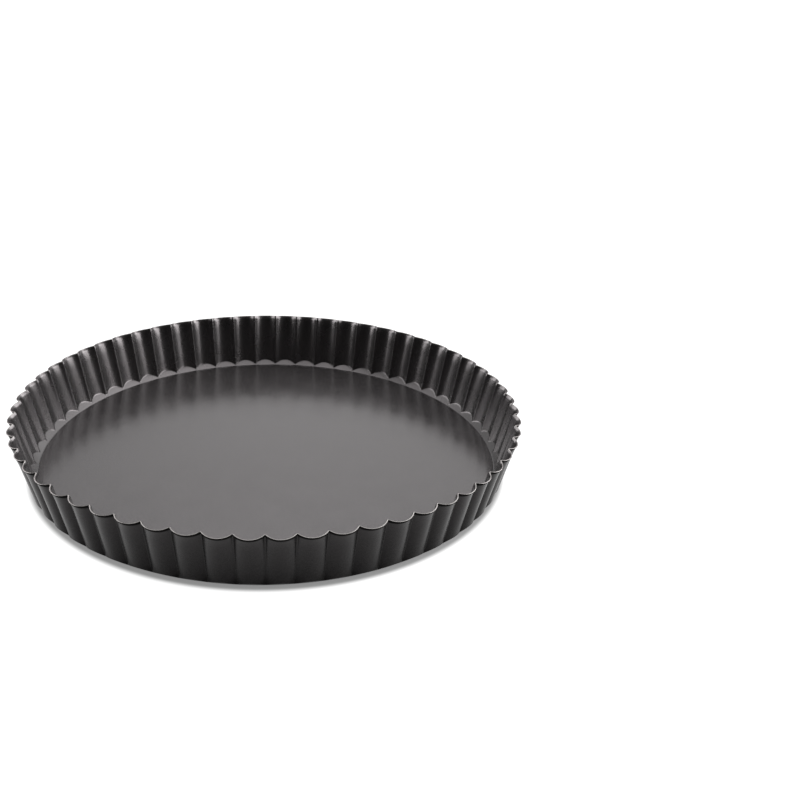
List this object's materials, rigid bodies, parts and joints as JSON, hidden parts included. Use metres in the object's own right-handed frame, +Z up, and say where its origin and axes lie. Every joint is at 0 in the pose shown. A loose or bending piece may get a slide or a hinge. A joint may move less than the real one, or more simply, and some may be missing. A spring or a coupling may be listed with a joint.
{
  "type": "tart pan",
  "caption": "Round fluted tart pan with a flared wall and a loose flat base that lies on the ring's inner ledge and lifts straight out.",
  "frame": {"origin": "middle of the pan on the surface it stands on, which is the underside of the ring's ledge", "axes": "+Z up along the pan's axis; +X along a ridge between two flutes"},
  "size_m": [0.277, 0.277, 0.033],
  "materials": {
    "ring_coating": "dark grey satin non-stick coating on drawn steel sheet, smooth, with a thin bright line where the rim was trimmed",
    "base_coating": "dark grey satin non-stick coating on flat steel sheet, with a fine speckled grain"
  },
  "bodies": {
    "ring": {"fluted_ring": "ring_coating"},
    "base": {"loose_base": "base_coating"}
  },
  "joints": [
    {"name": "base_lift", "type": "slide", "parent": "ring", "child": "base", "axis": [0, 0, 1], "range_m": [0, 0.05]}
  ]
}
